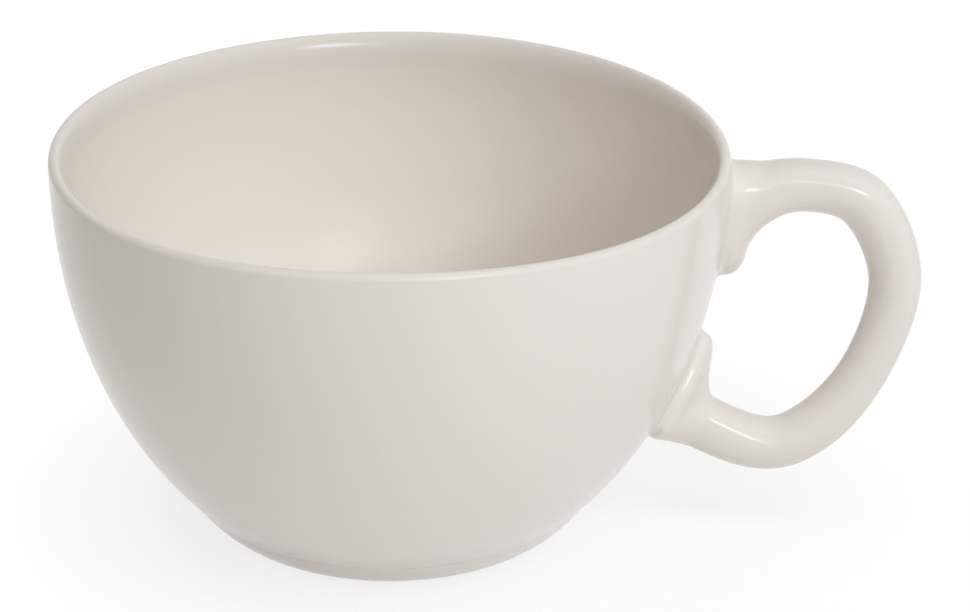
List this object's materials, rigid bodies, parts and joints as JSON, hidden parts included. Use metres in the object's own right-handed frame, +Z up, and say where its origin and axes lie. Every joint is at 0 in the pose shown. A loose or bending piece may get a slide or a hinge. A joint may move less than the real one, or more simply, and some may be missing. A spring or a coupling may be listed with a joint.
{
  "type": "cappuccino mug",
  "caption": "Wide round-bellied stoneware mug with a thin rounded lip, a turned foot ring and a rolled coil loop handle, for holding a large hot milky coffee.",
  "frame": {"origin": "on the table, under the middle of the mug's outer box; the bowl's axis lies 15.9 mm along -X", "axes": "+X from the bowl towards the handle, +Z up out of the mouth"},
  "size_m": [0.1418, 0.11, 0.0653],
  "materials": {
    "satin_glaze": "warm off-white satin glaze",
    "foot_glaze": "the same glaze, thin at the foot and wiped off the face that it stands on"
  },
  "bodies": {
    "root": {"bowl": "satin_glaze", "foot_ring": "foot_glaze", "handle": "satin_glaze", "upper_slip_collar": "satin_glaze", "lower_slip_collar": "satin_glaze"}
  },
  "joints": []
}
